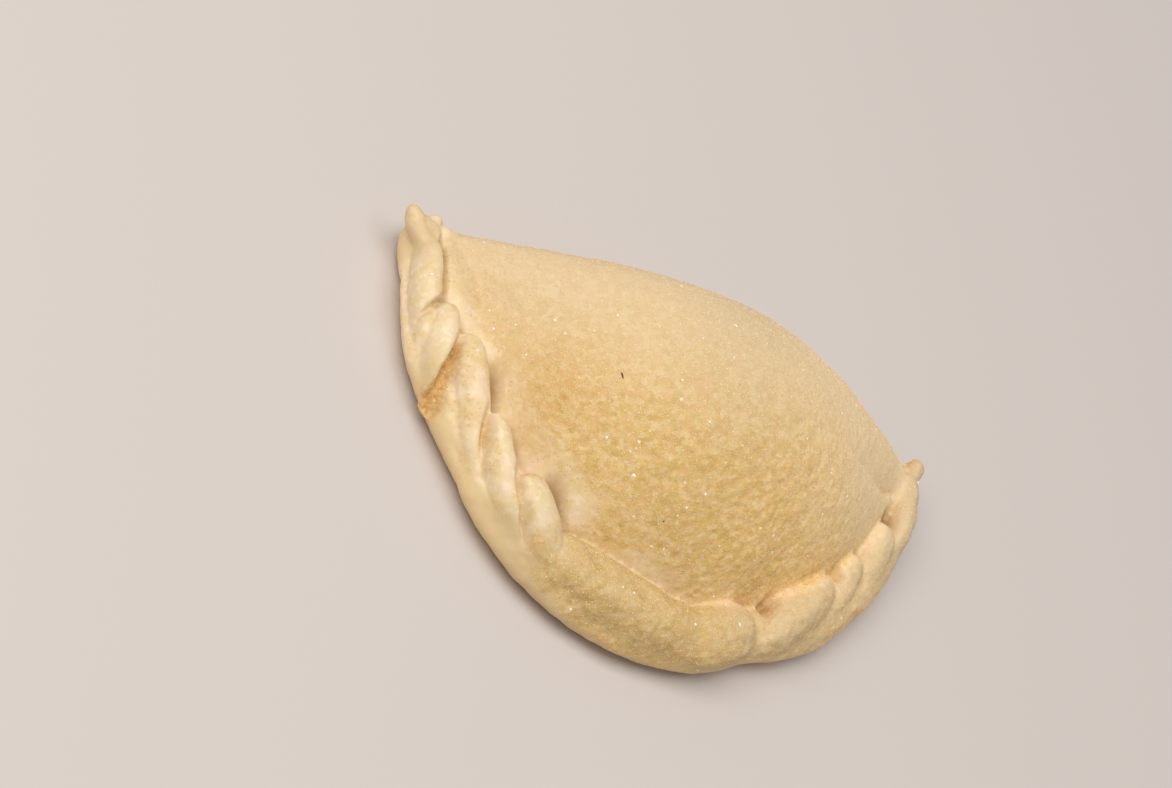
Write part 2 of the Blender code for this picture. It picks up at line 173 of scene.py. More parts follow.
# The band of dough outside the folds is pressed smooth, and so are the places where two rolls meet,
# rows like the hollows' with a strength from 0 to 1 in place of the depth. The pairs are the distances
# along the rim between which the band begins and grows wider.
BAND_START = (24.0, 40.0)
BAND_WIDENING = (60.0, 80.0)
BAND_REACH = 2.6
BAND_GAIN = 1.2
BAND_FADE = 2.5
MEETINGS = (
    (7.0, 2.5, 4.5, 5.0, 0, 0.85),
    (15.0, 12.5, 13.0, 5.5, 10, 0.95),
    (116.0, 6.0, 12.0, 9.0, 0, 0.75),
    (201.5, 8.0, 4.0, 3.0, 0, 0.90),
)

# The fineness of the shells, of the rim's measuring points and of a fold's axis.
RIM_STEPS = 160
RIM_SAMPLES = 541
TIP_MARGIN = 1e-3
TIP_BLEND_STEPS = 10
DOME_STEPS = 24
FOLD_RINGS = 30
FOLD_SIDES = 28
AXIS_SAMPLES = 101
MERGE_DISTANCE = 1e-4

# The fine crust: the grid that it is made on, the softening of its creases and the triangles kept.
# Places along the rim are looked up for so many points at a time, to save memory.
CRUST_VOXEL = 0.42
SOFT_STEPS = 2
BLUR_STEPS = 24
BAND_STEPS = 70
CREASE_DEEPENING = 1.2
DEEPEST_HOLLOW = 0.5
CRUST_TRIANGLES = 190000
POINTS_AT_ONCE = 20000

# The relief as layers of soft noise with an amount, a size and a seed: the lumps of all the dough, those
# of the rope, which end at the crease, and the clumps of sugar. It comes in above the flat base.
LUMPS = ((0.30, 15.0, 1), (0.14, 6.5, 2), (0.05, 2.8, 3))
ROPE_LUMPS = ((0.22, 5.0, 6), (0.10, 2.2, 7), (0.05, 1.1, 8))
SUGAR_CLUMPS = ((0.13, 2.1, 4), (0.13, 1.1, 5))
ROPE_CLUMP_GAIN = 0.6
RELIEF_HEIGHTS = (0.0, 1.5)
ROPE_END = (-2.0, 1.0)

# How thickly sugar lies, from 0 to 1. Pairs are the values between which it comes or goes: insets past
# the crease, distances along the rim or heights. Its edges wander by layers of noise. On the dome it
# starts past the crease, and further in beside the folds that lean from the left.
SUGAR_WANDER = ((1.6, 7.0, 11), (0.8, 2.5, 12))
DOME_SUGAR = (-1.5, 4.0)
DOME_SUGAR_SHIFT = 0.5
LEFT_FOLDS_START = (14.0, 24.0)
LEFT_FOLDS_END = (74.0, 84.0)
LEFT_FOLDS_SHIFT = 2.5

# On the rope it covers all from the long roll on, the -X tip and some patches. It stays off the dough
# below a height, which falls along the long roll, and ends at the crease.
ROLL_SUGAR = 0.8
ROLL_SUGAR_START = (70.0, 84.0)
ROLL_SUGAR_WANDER = 4.0
TIP_SUGAR = 0.5
TIP_SUGAR_END = (2.0, 9.0)
PATCH_SUGAR = 0.45
PATCH_NOISE = (1.0, 3.0, 13)
PATCH_VALUES = (0.0, 0.5)
LOW_DOUGH_Z = 5.0
LOW_DOUGH_FALL = 4.5
LOW_DOUGH_FALL_SPAN = (78.0, 100.0)
LOW_DOUGH_FADE = 3.0
ROPE_SUGAR_END = (-1.0, 2.0)

# It also thins out on the walls, the more the lower they are, and ends just above the base.
FACING_UP = (-0.25, 0.35)
FACING_WANDER = 0.1
WALL_SUGAR = 0.6
WALL_SUGAR_HEIGHTS = (1.0, 9.0)
WALL_SUGAR_WANDER = 2.0
BASE_HEIGHTS = (0.3, 1.3)

# The sugar lies fine towards the fold and coarse towards the rope, by the distance from a line that is
# turned a little out of the X axis.
LEAST_COARSENESS = 0.45
COARSE_SPAN = (8.0, 42.0)
COARSE_TURN = 0.15
COARSE_WANDER = (4.0, 12.0, 14)

# The toasted places, as rows like the hollows' with a strength from 0 to 1 in place of the depth. The
# first few make up one sugared gap between two folds. They come in between two heights.
TOASTED_GAP = 3
TOASTED = (
    (40.6, 0.8, 4.4, 2.0, -27, 1.00),
    (37.2, 2.8, 4.0, 1.6, -27, 1.00),
    (33.6, 4.7, 4.4, 1.1, -27, 0.85),
    (49.5, 6.4, 4.5, 1.2, -25, 0.55),
    (65.5, 6.6, 3.5, 1.2, -25, 0.25),
    (75.0, 3.6, 2.2, 1.1, -25, 0.55),
    (142.5, 11.2, 2.0, 0.9, 40, 0.50),
    (165.2, 10.5, 1.5, 1.0, 50, 0.50),
    (191.2, 8.5, 2.2, 1.9, 0, 1.00),
    (210.7, 6.0, 2.2, 1.6, 0, 0.45),
    (2.0, -0.5, 3.0, 2.4, 0, 0.35),
    (158.8, 1.4, 3.5, 1.2, 0, 0.35),
    (166.7, 0.8, 3.5, 1.2, 0, 0.40),
    (189.8, 0.8, 3.0, 1.2, 0, 0.40),
    (197.0, 0.2, 3.0, 1.2, 0, 0.45),
)
TOASTED_HEIGHTS = (1.0, 4.0)

# The underside is toasted all over, unevenly, up to the upper of two heights.
UNDER_TOAST = 0.55
UNDER_MOTTLE = ((0.3, 18.0, 21), (0.2, 5.0, 22))
UNDER_HEIGHTS = (0.2, 2.5)

# How much painted shade darkens a hollow: its depth under the crust around it, smoothed over so many steps,
# as a share of the full depth, or the painted shade for each millimetre that it is pressed in.
HOLLOW_STEPS = 30
HOLLOW_FULL = 0.9
DENT_SHADE = 0.34

# Insets past the crease: where the rope's tones give way to the dome's, and where the painted shade on
# the pressed band ends.
DOME_BLEND = (-1.0, 3.0)
BAND_END = (-3.0, 0.0)

# The dough is browned a little warmer round one place on the dome.
WARM_PLACE = (-34.6, -31.0)
WARM_RADIUS = 9.0

# The tone multiplies the colours. Painted light makes the dome lighter towards +X where sugar lies coarse,
# and painted shade makes it a little darker at the summit. The rope goes by the distance along the rim,
# and is lighter low down.
RIGHT_PAINTED_LIGHT = 0.30
RIGHT_SPAN = (-4.0, 20.0)
SUMMIT_PAINTED_SHADE = -0.09
SUMMIT_Z = 28.0
LOW_TONE = 0.20
LOW_SPAN = (4.5, 8.5)
ROPE_TONES = (
    (0.0, 1.0), (55.0, 1.0), (85.0, 0.84), (110.0, 0.88), (150.0, 0.90), (165.0, 0.98), (185.0, 0.96),
    (200.0, 0.87), (216.0, 0.90),
)

# The sugared colour turns to the fine cream where sugar lies fine, and on the +X part of the rope.
FINE_PALENESS = 1.27
ROPE_PALENESS = 0.55
ROPE_PALE_SPAN = (115.0, 140.0)

# The colours of bare dough, of the painted shade on the pressed band and of sugared dough.
BARE = (0.80, 0.61, 0.375)
BARE_YELLOW = (0.77, 0.59, 0.31)
BARE_PINK = (0.82, 0.595, 0.41)
BARE_PALE = (0.88, 0.71, 0.49)
BAND_SHADE_COLOUR = (0.66, 0.475, 0.235)
TAN = (0.645, 0.425, 0.135)
TAN_DEEP = (0.585, 0.37, 0.11)
YELLOW = (0.66, 0.475, 0.15)
PINKISH = (0.73, 0.44, 0.20)
CREAM = (0.74, 0.545, 0.27)
FINE_CREAM = (0.72, 0.55, 0.345)
AMBER = (0.62, 0.32, 0.085)
# The painted shade in hollows and creases, and the toast.
HOLLOW_SHADE_COLOUR = (0.42, 0.26, 0.09)
TOAST = (0.55, 0.27, 0.07)
TOAST_LIGHT = (0.70, 0.41, 0.14)

# The mottling of the dough: layers of noise with a size and a detail, the noise values between which
# each comes in, the most that it covers, and its colour.
BARE_MOTTLES = (
    (4.0, 3.0, 0.40, 0.60, 1.0, BARE),
    (2.4, 3.0, 0.48, 0.64, 0.6, BARE_PINK),
    (1.3, 2.0, 0.48, 0.64, 0.6, BARE_PALE),
)
SUGARED_MOTTLES = (
    (1.5, 3.0, 0.38, 0.62, 1.0, TAN),
    (3.2, 3.0, 0.46, 0.62, 0.5, YELLOW),
    (2.2, 3.0, 0.46, 0.60, 0.6, PINKISH),
)

# Speckles: grains of a size, each with a number of its own from 0 to 1, the numbers between which a
# colour comes in, and the least and the most that it covers.
CREAM_SPECKLES = (1.1, 0.45, 0.95, 0.0, 0.75)
AMBER_SPECKLES = (0.8, 0.72, 0.98, 0.0, 0.35)
WARM_SPECKLES = (1.0, 0.2, 0.8, 0.05, 0.55)
TOAST_SPECKLES = (0.8, 0.2, 0.9, 0.0, 1.0)

# How strongly the fields of the crust colour it, among them the painted shade on the band and in hollows,
# and how uneven the toast is.
BAND_SHADE_SHARE = 0.85
HOLLOW_SHADE_SHARE = 0.75
TOAST_NOISE = (1.4, 3.0)
TOAST_UNEVENNESS = (0.3, 0.6, 0.5, 1.0)

# The gloss of the crust, and its finest relief as a size, a depth and a strength: that of the dough's
# skin, and that of sugar where it lies.
BARE_ROUGHNESS = 0.50
SUGARED_ROUGHNESS = 0.62
CRUST_SPECULAR = 0.35
SKIN_DETAIL = 3.0
SKIN_RELIEF = (0.9, 0.08, 0.5)
SUGAR_RELIEF = (0.9, 0.14, 0.6)

# The two shapes of crystal, as corners and triangles: a splinter with four faces, and a block.
SPLINTER = (
    np.array([(-0.5, -0.4, -0.3), (0.6, -0.3, -0.2), (-0.1, 0.6, -0.3), (0.0, 0.0, 0.5)]),
    np.array([(0, 2, 1), (0, 1, 3), (1, 2, 3), (2, 0, 3)]),
)
BLOCK = (
    np.array(list(itertools.product((-0.5, 0.5), repeat=3))),
    np.array([
        (0, 1, 3), (0, 3, 2), (4, 6, 7), (4, 7, 5), (0, 4, 5), (0, 5, 1),
        (2, 3, 7), (2, 7, 6), (0, 2, 6), (0, 6, 4), (1, 5, 7), (1, 7, 3),
    ]),
)

# The kinds of loose sugar: name, shape, count, sizes from and to, the two tints between which it varies
# where sugar lies coarse and where it lies fine, roughness, specular level, and how strictly it keeps to
# the places with most sugar.
AMBER_TINTS = ((0.66, 0.43, 0.16), (0.80, 0.58, 0.29))
PALE_TINTS = ((0.75, 0.57, 0.36), (0.87, 0.71, 0.51))
GLASSY_TINTS = ((0.95, 0.90, 0.78), (1.00, 0.98, 0.94))
SUGARS = (
    ("fine_sugar", SPLINTER, 48000, 0.24, 0.46, AMBER_TINTS, PALE_TINTS, 0.5, 0.4, 1.5),
    ("coarse_sugar", BLOCK, 80, 0.22, 0.48, GLASSY_TINTS, GLASSY_TINTS, 0.15, 0.9, 1.0),
)

# How unevenly crystals are stretched and their corners moved, how flat they lie, how far they sink in,
# a triangle's corners in its crystal's cell of the bake map, and the seed of all that is random.
CRYSTAL_STRETCH = (0.65, 1.35)
CRYSTAL_UNEVENNESS = 0.18
CRYSTAL_FLATNESS = 0.5
CRYSTAL_SINK = 0.06
CELL_CORNERS = np.array([(0.25, 0.25), (0.75, 0.25), (0.5, 0.75)])
SEED = 7

# The dark crumbs on the dome: place in plan in the frame, length, width and turn in degrees.
CRUMBS = ((-23.6, 5.7, 1.5, 0.34, -67), (-5.9, -15.6, 0.40, 0.28, 0))
CRUMB_UNEVENNESS = 0.18
CRUMB_BLACK = (0.05, 0.025, 0.01)
CRUMB_BROWN = (0.16, 0.08, 0.03)
CRUMB_NOISE_SIZE = 0.3
CRUMB_ROUGHNESS = 0.8

# The charts of the crust's bake map, each with its scale and its height on the map, which is this wide.
# A face goes to one by how far up it faces, from -1 to 1, and by its inset or its place in plan.
MAP_MM = 150.0
CHARTS = {"top": (1.0, 0.745), "under": (0.5, 0.367), "back": (0.7, 0.06), "rim": (0.6, 0.005)}
CHART_NAMES = list(CHARTS)
STEEP_FACING = 0.3
UNDER_FACING = -0.6
RIM_CHART_REACH = 4.0
BACK_CHART_Y = -13.0

# The camera turns round AIM at an azimuth from -Y towards -X, and it is rolled about its own axis.
AIM = (-12.19, 21.22, -3.77)
CAMERA_AZIMUTH = 39.19
CAMERA_ELEVATION = 44.33
CAMERA_ROLL = 56.63
CAMERA_DISTANCE = 650.0
CAMERA_LENS = 100.5

# The pale floor just under the base, and the studio's even light with two square lamps. The key lamp
# is placed by shares of the camera's up and back directions, and the high one is just off upright.
FLOOR_HALF_WIDTH = 3000.0
FLOOR_DROP = 0.05
FLOOR_COLOUR = (0.60, 0.535, 0.49)
FLOOR_ROUGHNESS = 0.7
STUDIO_LIGHT = 0.37
LAMP_DISTANCE = 1300.0
LAMP_SIZE = 900.0
KEY_UP = 0.5
KEY_BACK = 0.85
KEY_POWER = 9.8
HIGH_DIRECTION = (0.001, 0.0, 1.0)
HIGH_POWER = 6.8


def rim_at(angle):
    """The roped arc in plan, from the -X tip at angle 0 to the +X tip at pi."""
    x = -LENGTH / 2 * np.cos(angle)
    y = -CRIMP_DEPTH * np.sin(angle) ** CRIMP_POWER * (1 + CRIMP_LEAN * np.cos(angle))
    return np.stack([x, y], axis=-1)


def fold_edge_at(angle):
    """The nearly straight edge opposite the rope, ending short of the tips, which the folds make round."""
    x = -(LENGTH / 2 - TIP_CUT) * np.cos(angle)
    y = FOLD_BULGE * np.sin(angle) ** FOLD_POWER * (1 + FOLD_LEAN * np.cos(angle))
    return np.stack([x, y], axis=-1)


def rounded_power(value, power):
    """The size of a value to a power, with a rounded bottom at zero."""
    return (value**2 + RIDGE_ROUNDING**2) ** (0.5 * power)


def ridge_at(angle):
    """The top line of the dome under the same angles: plan position and height."""
    along = -np.cos(angle)
    x = LENGTH / 2 * RIDGE_SHARE * along
    y = RIDGE_Y_ENDS + (RIDGE_Y_MIDDLE - RIDGE_Y_ENDS) * (1 - along**2)
    leaned = (along - RIDGE_LEAN) / (1 - RIDGE_LEAN * along)
    fall = np.where(leaned < 0, RIDGE_FALL_LEFT, RIDGE_FALL_RIGHT)
    end_z = np.where(leaned < 0, RIDGE_Z_LEFT, RIDGE_Z_RIGHT)
    flat = rounded_power(0.0, fall)
    z = HEIGHT - (HEIGHT - end_z) * (rounded_power(leaned, fall) - flat) / (rounded_power(1.0, fall) - flat)
    return np.stack([x, y], axis=-1), z


def inward_normals(points):
    tangents = np.gradient(points, axis=0)
    tangents /= np.linalg.norm(tangents, axis=1)[:, None]
    return np.stack([-tangents[:, 1], tangents[:, 0]], axis=-1)


def inset_at(angle, insets):
    """An inset for each angle, from pairs of a share of the arc and the inset there, with soft changes."""
    shares, values = np.array(insets).T
    window = np.linspace(-INSET_BLEND, INSET_BLEND, BLEND_SAMPLES)
    return np.interp(angle[:, None] / math.pi + window, shares, values).mean(axis=1)


def crimp_profiles(angle):
    """Rows of points from the base up over the band and the dome to the ridge, one column an angle."""
    rim = rim_at(angle)
    normal = inward_normals(rim)
    rim = rim + normal * inset_at(angle, RIM_INSETS)[:, None]
    ridge, ridge_z = ridge_at(angle)
    reach = np.linalg.norm(ridge - rim, axis=1)
    inset = np.minimum(inset_at(angle, CREASE_INSETS), MOST_CREASE_SHARE * reach)
    rows = []
    for wall_inset, z in WALL_PROFILE:
        rows.append(np.column_stack([rim + normal * wall_inset, np.full(len(angle), z)]))
    for share, z in BAND_PROFILE:
        rows.append(np.column_stack([rim + normal * (share * inset)[:, None], np.full(len(angle), z)]))
    crease = rim + normal * inset[:, None]
    for share in np.linspace(0, 1, DOME_STEPS + 1):
        z = CREASE_Z + (ridge_z - CREASE_Z) * (1 - (1 - share) ** SLOPE_POWER)
        rows.append(np.column_stack([crease + (ridge - crease) * share, z]))
    return np.array(rows)


def fold_profiles(angle, rows_wanted):
    """The same rows on the fold side, where the dome comes down as a steep round wall."""
    edge = fold_edge_at(angle)
    ridge, ridge_z = ridge_at(angle)
    inward = ridge - edge
    inward /= np.linalg.norm(inward, axis=1)[:, None]
    edge_z = FOLD_EDGE_SHARE * ridge_z
    rows = []
    for inset, z in FOLD_BASE_PROFILE:
        rows.append(np.column_stack([edge + inward * inset, np.full(len(angle), z)]))
    for inset, share in FOLD_WALL_PROFILE:
        rows.append(np.column_stack([edge + inward * inset, share * edge_z]))
    for turn in np.linspace(0, 0.5 * math.pi, rows_wanted - len(rows)):
        share = 1 - math.cos(turn)
        rise = math.sqrt(1 - (1 - share) ** FOLD_WALL_POWER)
        rows.append(np.column_stack([edge + (ridge - edge) * share, edge_z + (ridge_z - edge_z) * rise]))
    return np.array(rows)


def body_shell():
    """The domed body as vertices and faces: rows round the outline, from the base to the ridge."""
    angle = np.linspace(TIP_MARGIN, math.pi - TIP_MARGIN, RIM_STEPS + 1)
    crimp = crimp_profiles(angle)
    back = fold_profiles(angle, len(crimp))[:, ::-1]
    blend = np.clip(np.arange(RIM_STEPS + 1) / TIP_BLEND_STEPS, 0, 1)
    tip = np.minimum(blend, blend[::-1])[None, :, None]
    back[:, :, 2:] = back[:, :, 2:] * tip + crimp[:, ::-1, 2:] * (1 - tip)
    rings = np.concatenate([crimp, back], axis=1)
    rows, columns = rings.shape[:2]
    faces = [tuple(range(columns))[::-1]]
    for row in range(rows - 1):
        for column in range(columns):
            here = row * columns + column
            beside = row * columns + (column + 1) % columns
            faces.append((here, beside, beside + columns, here + columns))
    return rings.reshape(-1, 3), faces


def rim_frame():
    """Distances along the rim with the plan points and inward normals there."""
    points = rim_at(np.linspace(TIP_MARGIN, math.pi - TIP_MARGIN, RIM_SAMPLES))
    lengths = np.linalg.norm(np.diff(points, axis=0), axis=1)
    return np.concatenate([[0.0], np.cumsum(lengths)]), points, inward_normals(points)


def on_rim(rim, along, inset):
    """The plan point at a distance along the rim and an inset from it, straight on past its ends."""
    distance, points, normals = rim
    place = np.clip(along, 0.0, distance[-1])
    point = np.array([np.interp(place, distance, points[:, k]) for k in (0, 1)])
    normal = np.array([np.interp(place, distance, normals[:, k]) for k in (0, 1)])
    normal /= np.linalg.norm(normal)
    forward = np.array([normal[1], -normal[0]])
    return point + normal * inset + forward * (along - place)


def fold_axis(rim, head, tail, bow):
    """Points along the axis of a fold, with the directions there."""
    points = []
    for share in np.linspace(0, 1, AXIS_SAMPLES):
        along, inset, z = (h + (t - h) * share for h, t in zip(head, tail))
        points.append((*on_rim(rim, along, inset + bow * math.sin(math.pi * share)), z))
    points = np.array(points)
    tangents = np.gradient(points, axis=0)
    return points, tangents / np.linalg.norm(tangents, axis=1)[:, None]


def fold_shell(rim, head, tail, half_width, half_height, bow, plumpest):
    """One fold of the rope: a leaf-shaped closed roll along its axis, as vertices and faces."""
    axis, tangents = fold_axis(rim, head, tail, bow)
    samples = np.linspace(0, 1, AXIS_SAMPLES)
    warp = math.log(0.5) / math.log(plumpest)
    vertices = [axis[0]]
    for turn in np.linspace(0, math.pi, FOLD_RINGS + 2)[1:-1]:
        share = 0.5 - 0.5 * math.cos(turn)
        centre = np.array([np.interp(share, samples, axis[:, k]) for k in range(3)])
        tangent = np.array([np.interp(share, samples, tangents[:, k]) for k in range(3)])
        side = np.cross(tangent, (0.0, 0.0, 1.0))
        side /= np.linalg.norm(side)
        up = np.cross(side, tangent)
        fullness = (1 - abs(2 * share**warp - 1) ** FOLD_END_POWER) ** 0.5
        for spin in np.linspace(0, 2 * math.pi, FOLD_SIDES, endpoint=False):
            offset = side * half_width * math.cos(spin) + up * half_height * math.sin(spin)
            vertices.append(centre + offset * fullness)
    vertices.append(axis[-1])
    last = len(vertices) - 1
    last_ring = 1 + (FOLD_RINGS - 1) * FOLD_SIDES
    faces = []
    for k in range(FOLD_SIDES):
        beside = (k + 1) % FOLD_SIDES
        faces.append((0, 1 + beside, 1 + k))
        for start in range(1, last_ring, FOLD_SIDES):
            faces.append((start + k, start + beside, start + FOLD_SIDES + beside, start + FOLD_SIDES + k))
        faces.append((last_ring + k, last_ring + beside, last))
    return np.array(vertices), faces


def dough_mesh():
    """The body and all the folds as overlapping closed shells in one mesh, in millimetres."""
    rim = rim_frame()
    vertices = []
    faces = []
    for shell_vertices, shell_faces in [body_shell()] + [fold_shell(rim, *fold) for fold in FOLDS]:
        start = len(vertices)
        vertices.extend(tuple(v) for v in shell_vertices)
        faces.extend(tuple(start + k for k in face) for face in shell_faces)
    mesh = bpy.data.meshes.new("dough")
    mesh.from_pydata(vertices, [], faces)
    cleaned = bmesh.new()
    cleaned.from_mesh(mesh)
    bmesh.ops.remove_doubles(cleaned, verts=cleaned.verts, dist=MERGE_DISTANCE)
    bmesh.ops.recalc_face_normals(cleaned, faces=cleaned.faces)
    cleaned.to_mesh(mesh)
    cleaned.free()
    return mesh


def link(name, mesh):
    obj = bpy.data.objects.new(name, mesh)
    bpy.context.scene.collection.objects.link(obj)
    return obj


def modified(mesh, *modifiers):
    """A copy of a mesh with modifiers applied, each given as its type and its settings."""
    obj = link("working", mesh)
    for kind, settings in modifiers:
        modifier = obj.modifiers.new(kind, kind)
        for name, value in settings.items():
            setattr(modifier, name, value)
    bpy.context.view_layer.update()
    result = bpy.data.meshes.new_from_object(obj.evaluated_get(bpy.context.evaluated_depsgraph_get()))
    bpy.data.objects.remove(obj)
    return result


def vectors(items, name):
    """The vectors that items of a mesh hold under a name, as rows."""
    values = np.empty(len(items) * 3, np.float32)
    items.foreach_get(name, values)
    return values.reshape(-1, 3).astype(np.float64)


def positions(mesh):
    return vectors(mesh.vertices, "co")


def vertex_normals(mesh):
    return vectors(mesh.vertex_normals, "vector")


def set_positions(mesh, points):
    mesh.vertices.foreach_set("co", points.astype(np.float32).ravel())
    mesh.update()


def triangles(mesh):
    """The faces of a triangulated mesh, as rows of vertex numbers."""
    corners = np.empty(len(mesh.loops), np.int32)
    mesh.loops.foreach_get("vertex_index", corners)
    return corners.reshape(-1, 3)


def smoothed(mesh, steps):
    """The vertex positions of a mesh after a number of smoothing steps."""
    result = modified(mesh, ("SMOOTH", {"factor": 0.5, "iterations": steps}))
    points = positions(result)
    bpy.data.meshes.remove(result)
    return points


def hashed(cells, seed):
    """A number from -1 to 1 for each cell of a grid, the same on each run, from large primes."""
    mixed = cells[:, 0] * 73856093 ^ cells[:, 1] * 19349663 ^ cells[:, 2] * 83492791 ^ seed * 2654435761
    mixed = ((mixed ^ (mixed >> 13)) * 1274126177) & 0xFFFFFFFF
    mixed = mixed ^ (mixed >> 16)
    return (mixed & 0xFFFF) / 32767.5 - 1


def noise(points, size, seed):
    """Smooth noise from -1 to 1 with features of about the given size."""
    cells = points / size
    corner = np.floor(cells).astype(np.int64)
    share = cells - corner
    share = share * share * (3 - 2 * share)
    total = np.zeros(len(points))
    for offset in itertools.product((0, 1), repeat=3):
        offset = np.array(offset)
        weight = np.prod(np.where(offset, share, 1 - share), axis=1)
        total += weight * hashed(corner + offset, seed)
    return total


def layered(points, *layers):
    """The sum of layers of noise, each given as its amount, the size of its features and its seed."""
    return sum(amount * noise(points, size, seed) for amount, size, seed in layers)


def smoothstep(low, high, value):
    share = np.clip((value - low) / (high - low), 0, 1)
    return share * share * (3 - 2 * share)


def rim_coordinates(points):
    """For each point, the distance along the rim of its nearest rim point and the inset from it."""
    distance, rim, normals = rim_frame()
    along = np.empty(len(points))
    inset = np.empty(len(points))
    for start in range(0, len(points), POINTS_AT_ONCE):
        chosen = slice(start, start + POINTS_AT_ONCE)
        gaps = points[chosen, None, :2] - rim[None, :, :]
        nearest = np.argmin((gaps**2).sum(axis=2), axis=1)
        gap = gaps[np.arange(len(gaps)), nearest]
        along[chosen] = distance[nearest]
        inset[chosen] = (gap * normals[nearest]).sum(axis=1)
    return along, inset


def past_crease(along, inset):
    """How far each place lies inside the crease between the rope and the dome."""
    distance, points, _ = rim_frame()
    angles = np.linspace(TIP_MARGIN, math.pi - TIP_MARGIN, len(points))
    return inset - np.interp(along, distance, inset_at(angles, CREASE_INSETS))


def spots(rows, along, inset):
    """The largest value that any of the rows gives at each place, fading out at the row's edges."""
    total = np.zeros(len(along))
    for row_along, row_inset, half_length, half_width, turn, value in rows:
        cosine = math.cos(math.radians(turn))
        sine = math.sin(math.radians(turn))
        forward = (along - row_along) * cosine + (inset - row_inset) * sine
        across = (inset - row_inset) * cosine - (along - row_along) * sine
        spread = np.hypot(forward / half_length, across / half_width)
        total = np.maximum(total, value * np.exp(-(spread**SPOT_POWER)))
    return total


def pressed_smooth(along, inset):
    """The outer band of dough, 1 on it and 0 on the folds, with the places where two rolls meet."""
    reach = BAND_REACH + BAND_GAIN * smoothstep(*BAND_WIDENING, along)
    across = 1 - smoothstep(0, 1, (inset - reach) / BAND_FADE + 0.5)
    return np.maximum(across * smoothstep(*BAND_START, along), spots(MEETINGS, along, inset))


def rope_sugar(points, along, inset, wander):
    """How thickly sugar covers the rope: its rolls, the -X tip, some patches and one gap."""
    rope = ROLL_SUGAR * smoothstep(*ROLL_SUGAR_START, along + ROLL_SUGAR_WANDER * wander)
    rope += TIP_SUGAR * (1 - smoothstep(*TIP_SUGAR_END, along))
    rope = np.maximum(rope, PATCH_SUGAR * smoothstep(*PATCH_VALUES, layered(points, PATCH_NOISE)))
    rope = np.maximum(rope, spots(TOASTED[:TOASTED_GAP], along, inset))
    lowest = LOW_DOUGH_Z - LOW_DOUGH_FALL * smoothstep(*LOW_DOUGH_FALL_SPAN, along)
    on_high_dough = smoothstep(0, LOW_DOUGH_FADE, points[:, 2] + wander - lowest)
    return rope * (on_high_dough * (1 - smoothstep(*ROPE_SUGAR_END, past_crease(along, inset))))


def sugar_cover(points, normals, along, inset):
    """How thickly sugar covers the crust, from 0 on bare dough to 1 on the dome."""
    wander = layered(points, *SUGAR_WANDER)
    beside_folds = smoothstep(*LEFT_FOLDS_START, along) * (1 - smoothstep(*LEFT_FOLDS_END, along))
    start = past_crease(along, inset) - DOME_SUGAR_SHIFT - LEFT_FOLDS_SHIFT * beside_folds
    dome = smoothstep(*DOME_SUGAR, start + wander)
    cover = np.clip(np.maximum(dome, rope_sugar(points, along, inset, wander)), 0, 1)
    low_wall = smoothstep(*WALL_SUGAR_HEIGHTS, points[:, 2] + WALL_SUGAR_WANDER * wander)
    facing_up = smoothstep(*FACING_UP, normals[:, 2] + FACING_WANDER * wander)
    above_base = smoothstep(*BASE_HEIGHTS, points[:, 2])
    return cover * np.maximum(facing_up, WALL_SUGAR * low_wall) * above_base


def coarseness(points):
    """How coarse the sugar lies, up to 1: fine and even towards the fold, coarse towards the rope."""
    place = -points[:, 1] - COARSE_TURN * points[:, 0] + layered(points, COARSE_WANDER)
    return LEAST_COARSENESS + (1 - LEAST_COARSENESS) * smoothstep(*COARSE_SPAN, place)


def relieved(points, normals, sugar, inside):
    """Points moved along their normals by the lumps of the dough and the grain of the sugar."""
    rope = 1 - smoothstep(*ROPE_END, inside)
    lumps = layered(points, *LUMPS) + rope * layered(points, *ROPE_LUMPS)
    clumps = layered(points, *SUGAR_CLUMPS) * (sugar * coarseness(points) * (1 + ROPE_CLUMP_GAIN * rope))
    height = (lumps + clumps) * smoothstep(*RELIEF_HEIGHTS, points[:, 2])
    return points + normals * height[:, None]


def fine_crust():
    """The crust at full detail, in millimetres, before it is centred as the frame's solid is."""
    mesh = modified(dough_mesh(), ("REMESH", {"mode": "VOXEL", "voxel_size": CRUST_VOXEL}))
    soft = smoothed(mesh, SOFT_STEPS)
    blurred = smoothed(mesh, BLUR_STEPS)
    flattened = smoothed(mesh, BAND_STEPS)
    set_positions(mesh, soft)
    normals = vertex_normals(mesh)
    along, inset = rim_coordinates(soft)
    hollow = np.clip(((soft - blurred) * normals).sum(axis=1), -DEEPEST_HOLLOW, 0)
    points = soft + normals * (CREASE_DEEPENING * hollow)[:, None]
    share = pressed_smooth(along, inset)[:, None]
    points = points * (1 - share) + flattened * share
    points[:, 2] -= spots(DENTS, along, inset) * smoothstep(*DENT_HEIGHTS, points[:, 2])
    sugar = sugar_cover(points, normals, along, inset)
    points = relieved(points, normals, sugar, past_crease(along, inset))
    points[:, 2] = np.maximum(points[:, 2], 0.0)
    set_positions(mesh, points)
    return mesh


def painted_hollow_shade(points, normals, blurred, along, inset):
    """How deep each place lies, from 0 to 1, which sets the painted shade that darkens it."""
    depth = -((points - blurred) * normals).sum(axis=1)
    pressed = spots(DENTS, along, inset) * smoothstep(*DENT_HEIGHTS, points[:, 2])
    return np.maximum(np.clip(depth / HOLLOW_FULL, 0, 1), DENT_SHADE * pressed)


def toasting(points, along, inset):
    """How toasted the dough is: in some gaps, under the rim and on the underside."""
    toast = spots(TOASTED, along, inset) * smoothstep(*TOASTED_HEIGHTS, points[:, 2])
    under = 1 - smoothstep(*UNDER_HEIGHTS, points[:, 2])
    return np.maximum(toast, under * (UNDER_TOAST + layered(points, *UNDER_MOTTLE)))


